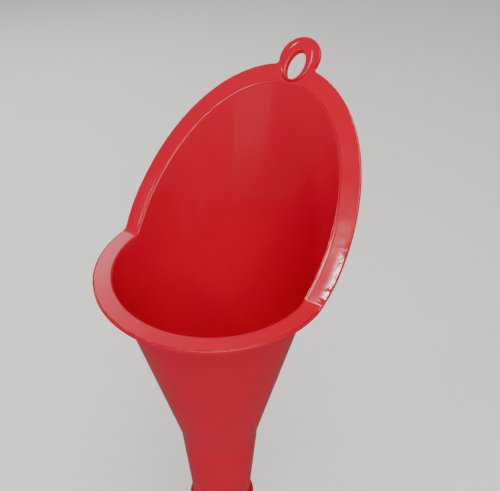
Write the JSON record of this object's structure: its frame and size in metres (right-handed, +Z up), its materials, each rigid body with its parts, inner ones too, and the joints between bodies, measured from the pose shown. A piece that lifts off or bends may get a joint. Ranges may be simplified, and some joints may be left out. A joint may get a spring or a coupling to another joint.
{
  "type": "funnel",
  "caption": "Anti-splash filling funnel: conical bowl with a tall slanted guard, folded flange and hang tab, a lift-out throat strainer and a tapered push-on spout.",
  "frame": {"origin": "on the funnel's axis at the throat, where the bowl meets the neck, the level at which the tapered neck is taken to hang in a container's mouth", "axes": "+Z up the funnel's axis from the spout tip to the mouth, +Y towards the tall splash guard and its hang tab, -Y towards the low pouring side, X across the mouth"},
  "size_m": [0.13, 0.1526, 0.3997],
  "materials": {
    "body_plastic": "glossy moulded red polypropylene",
    "spout_plastic": "satin moulded red polypropylene",
    "strainer_plastic": "natural white moulded polypropylene",
    "strainer_wire": "plain woven stainless wire"
  },
  "bodies": {
    "funnel": {"funnel_body": "body_plastic"},
    "strainer": {"strainer_frame": "strainer_plastic", "strainer_gauze": "strainer_wire"},
    "spout": {"spout": "spout_plastic"}
  },
  "joints": [
    {"name": "strainer_lift", "type": "slide", "parent": "funnel", "child": "strainer", "axis": [0, 0, 1], "range_m": [0, 0.23]},
    {"name": "spout_pull", "type": "slide", "parent": "funnel", "child": "spout", "axis": [0, 0, -1], "range_m": [0, 0.034]}
  ]
}
